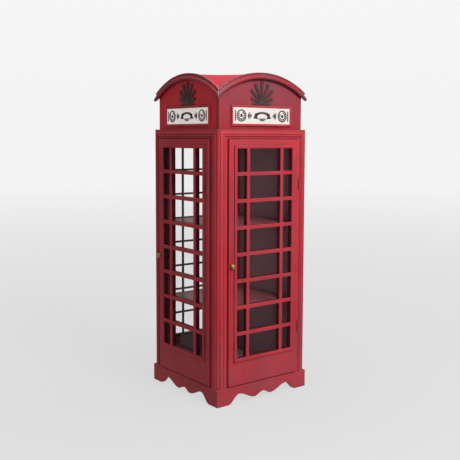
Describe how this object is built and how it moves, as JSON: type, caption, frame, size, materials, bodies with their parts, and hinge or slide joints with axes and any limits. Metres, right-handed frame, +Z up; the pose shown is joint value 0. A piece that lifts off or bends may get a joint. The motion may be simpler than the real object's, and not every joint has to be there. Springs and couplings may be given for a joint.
{
  "type": "telephone booth",
  "caption": "Cabinet-sized square telephone booth with arched gables, a scalloped plinth, hinged glazed doors and shelves inside.",
  "frame": {"origin": "middle of the footprint at floor level", "axes": "-Y is the front with the knob door, -X is the left side with the second door, +Z is up"},
  "size_m": [0.5195, 0.5285, 1.4],
  "materials": {
    "red_paint": "painted board, antique red with darkened edges",
    "shelf_paint": "painted board, antique red",
    "dark_inside": "painted board, charcoal brown inside",
    "dark_trim": "graphite paint",
    "sign_cream": "cream enamel",
    "clear_glass": "clear float glass",
    "brass": "antique brass",
    "catch_plastic": "dark moulded plastic",
    "steel_plate": "zinc plated"
  },
  "bodies": {
    "cabinet": {"plinth_front": "red_paint", "plinth_left": "red_paint", "plinth_back": "red_paint", "plinth_right": "red_paint", "cabinet_floor": "dark_inside", "post_front_left": "red_paint", "post_back_left": "red_paint", "post_back_right": "red_paint", "post_front_right": "red_paint", "head_frame": "red_paint", "top_board": "red_paint", "moulding_front": "red_paint", "moulding_left": "red_paint", "moulding_back": "red_paint", "moulding_right": "red_paint", "gable_front": "red_paint", "gable_left": "red_paint", "gable_back": "red_paint", "gable_right": "red_paint", "arch_front": "red_paint", "arch_left": "red_paint", "arch_back": "red_paint", "arch_right": "red_paint", "roof_skin": "red_paint", "sign_frame_front": "red_paint", "sign_frame_left": "red_paint", "sign_frame_back": "red_paint", "sign_frame_right": "red_paint", "sign_plate_front": "sign_cream", "sign_plate_left": "sign_cream", "sign_plate_back": "sign_cream", "sign_plate_right": "sign_cream", "ornament_front": "dark_trim", "ornament_left": "dark_trim", "ornament_back": "dark_trim", "ornament_right": "dark_trim", "shelf_lower": "shelf_paint", "shelf_upper": "shelf_paint", "shelf_pegs": "brass", "side_board": "dark_inside", "back_frame": "red_paint", "back_bars": "red_paint", "back_glass": "clear_glass", "hinge_leaves": "brass", "hinge_pins": "brass", "door_catches": "catch_plastic"},
    "front_door": {"front_door_frame": "red_paint", "front_door_bars": "red_paint", "front_door_glass": "clear_glass", "front_door_knob": "brass", "front_door_leaves": "brass", "front_door_strike": "steel_plate"},
    "left_door": {"left_door_frame": "red_paint", "left_door_bars": "red_paint", "left_door_glass": "clear_glass", "left_door_knob": "brass", "left_door_leaves": "brass", "left_door_strike": "steel_plate"}
  },
  "joints": [
    {"name": "front_door_hinge", "type": "hinge", "parent": "cabinet", "child": "front_door", "pos_m": [0.19325, -0.2558, 0.605], "axis": [0, 0, 1], "range_deg": [0, 105]},
    {"name": "left_door_hinge", "type": "hinge", "parent": "cabinet", "child": "left_door", "pos_m": [-0.2558, -0.19325, 0.605], "axis": [0, 0, 1], "range_deg": [0, 105]}
  ]
}
